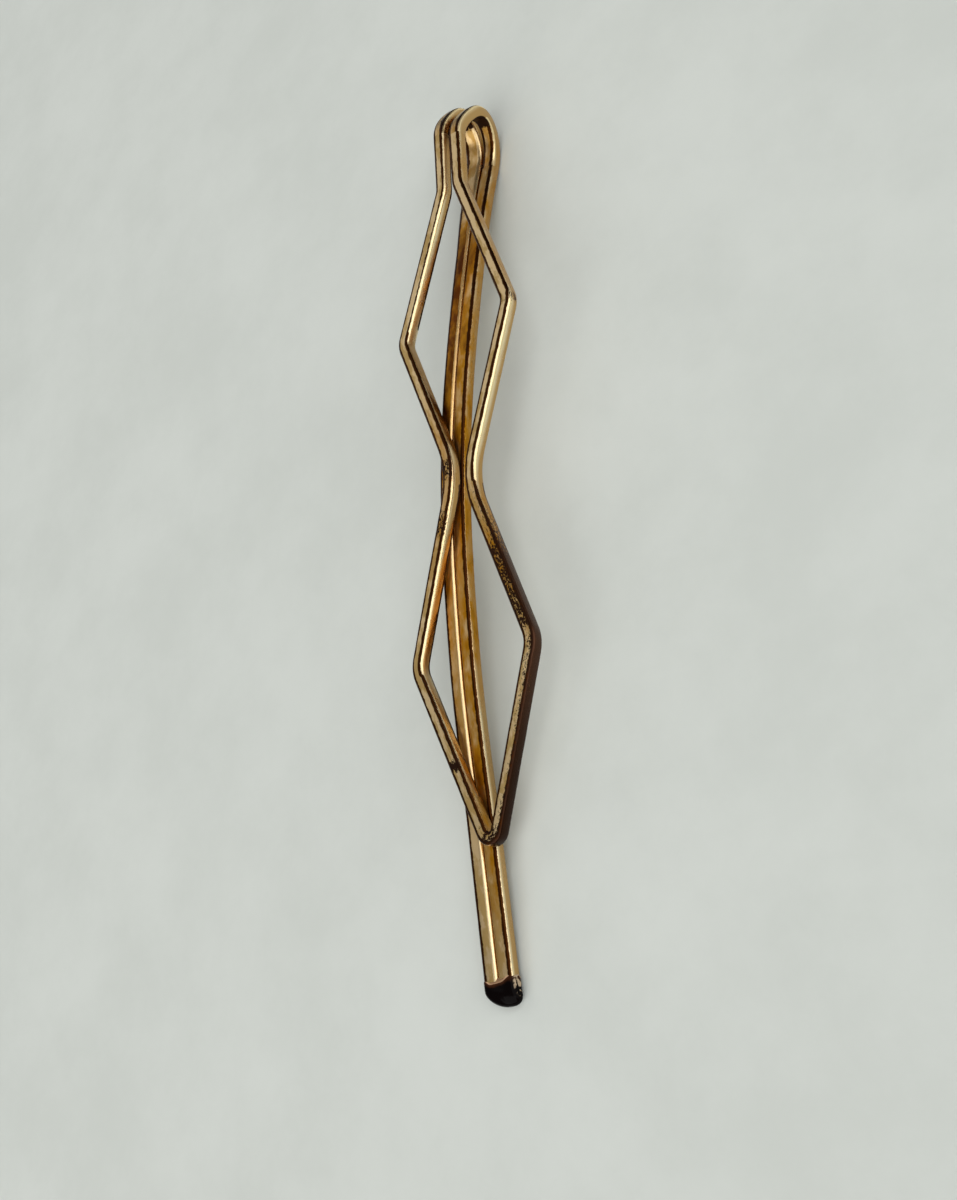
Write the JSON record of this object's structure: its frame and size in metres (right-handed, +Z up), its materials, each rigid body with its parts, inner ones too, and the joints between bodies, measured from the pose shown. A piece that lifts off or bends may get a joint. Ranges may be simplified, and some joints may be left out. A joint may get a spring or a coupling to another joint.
{
  "type": "sprung wire hair grip",
  "caption": "Gold-toned hair grip folded from square wire: an open double-diamond front, two spring loops and an arched back leg with a dark dipped tip.",
  "frame": {"origin": "centre of the bounding box in X and Y, on the table that the grip lies on", "axes": "+X across the width, +Y along the length from the dipped tip towards the spring loops, +Z up out of the front face"},
  "size_m": [0.0112, 0.0706, 0.0057],
  "materials": {
    "loop_front_left_gold": "worn gold-toned plating",
    "loop_front_right_gold": "worn gold-toned plating",
    "loop_back_left_gold": "worn gold-toned plating",
    "loop_back_right_gold": "worn gold-toned plating",
    "zigzag_left_gold": "worn gold-toned plating",
    "zigzag_right_gold": "worn gold-toned plating, darkest on this strand",
    "nose_gold": "worn gold-toned plating, rubbed dark at the fold",
    "back_leg_left_gold": "polished gold-toned plating",
    "back_leg_right_gold": "polished gold-toned plating",
    "bead_dark": "glossy dark brown dip"
  },
  "bodies": {
    "back_leg": {"back_leg_left": "back_leg_left_gold", "back_leg_right": "back_leg_right_gold", "tip_bead": "bead_dark", "spring_loop_back_left": "loop_back_left_gold", "spring_loop_back_right": "loop_back_right_gold"},
    "front_leg": {"spring_loop_front_left": "loop_front_left_gold", "spring_loop_front_right": "loop_front_right_gold", "front_zigzag_left": "zigzag_left_gold", "front_zigzag_right": "zigzag_right_gold", "front_nose": "nose_gold"}
  },
  "joints": [
    {"name": "front_opens", "type": "hinge", "parent": "back_leg", "child": "front_leg", "pos_m": [0, 0.03454, 0.00303], "axis": [-1, 0, 0], "range_deg": [0, 10], "stiffness_Nm_per_rad": 0.35, "springref_deg": -2.86}
  ]
}
